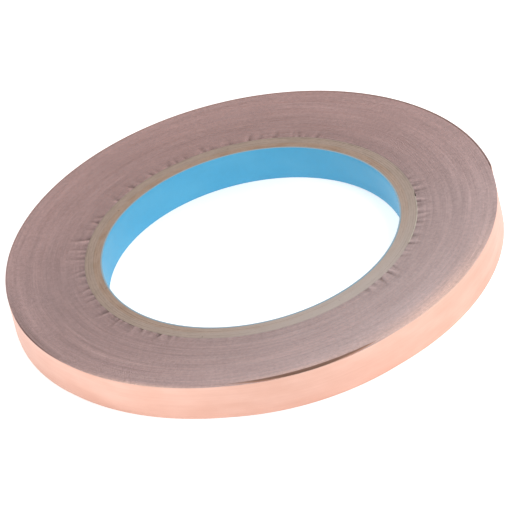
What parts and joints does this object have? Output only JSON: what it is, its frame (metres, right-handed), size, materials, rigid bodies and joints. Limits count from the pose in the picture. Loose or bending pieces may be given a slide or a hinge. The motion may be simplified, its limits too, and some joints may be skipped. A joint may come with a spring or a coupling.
{
  "type": "copper foil tape roll",
  "caption": "Roll of adhesive-backed copper foil tape wound on a lined paperboard core, with a loose end that lifts as its backing peels.",
  "frame": {"origin": "centre of the core's bore, on the roll's lower face", "axes": "+Z along the roll's axis, away from the surface it lies on; +X points to the place where the first turn of tape starts on the core"},
  "size_m": [0.1261, 0.1267, 0.0095],
  "materials": {
    "lining_paper": "light blue coated paper, smooth and half matt",
    "kraft_board_inner": "brown kraft board, cut edge with short fibres",
    "kraft_board_outer": "greyer recycled board, cut edge with short fibres",
    "wrap_paper": "smooth thin board",
    "starting_tape": "clear double-sided tape",
    "release_paper": "silicone-coated paper, half matt",
    "adhesive": "clear acrylic adhesive film",
    "copper_foil": "bare rolled copper, satin"
  },
  "bodies": {
    "roll": {"core_lining": "lining_paper", "core_board_ply_1": "kraft_board_inner", "core_board_ply_2": "kraft_board_inner", "core_board_ply_3": "kraft_board_inner", "core_board_ply_4": "kraft_board_outer", "core_board_ply_5": "kraft_board_outer", "core_board_ply_6": "kraft_board_outer", "core_wrap": "wrap_paper", "starting_strip": "starting_tape", "wound_release_paper": "release_paper", "wound_adhesive": "adhesive", "wound_copper_foil": "copper_foil", "outer_turn_release_paper": "release_paper", "outer_turn_adhesive": "adhesive", "outer_turn_copper_foil": "copper_foil"},
    "loose_end": {"loose_end_adhesive": "adhesive", "loose_end_copper_foil": "copper_foil"},
    "loose_backing": {"loose_end_release_paper": "release_paper"}
  },
  "joints": [
    {"name": "loose_end_lift", "type": "hinge", "parent": "roll", "child": "loose_end", "pos_m": [0.05194, 0.03625, 0.00476], "axis": [0, 0, 1], "range_deg": [0, 90]},
    {"name": "backing_peel", "type": "hinge", "parent": "roll", "child": "loose_backing", "pos_m": [0.05194, 0.03625, 0.00476], "axis": [0, 0, 1], "range_deg": [0, 45]}
  ],
  "couplings": [
    {"joint": "backing_peel", "follows": "loose_end_lift", "ratio": 0.5}
  ]
}
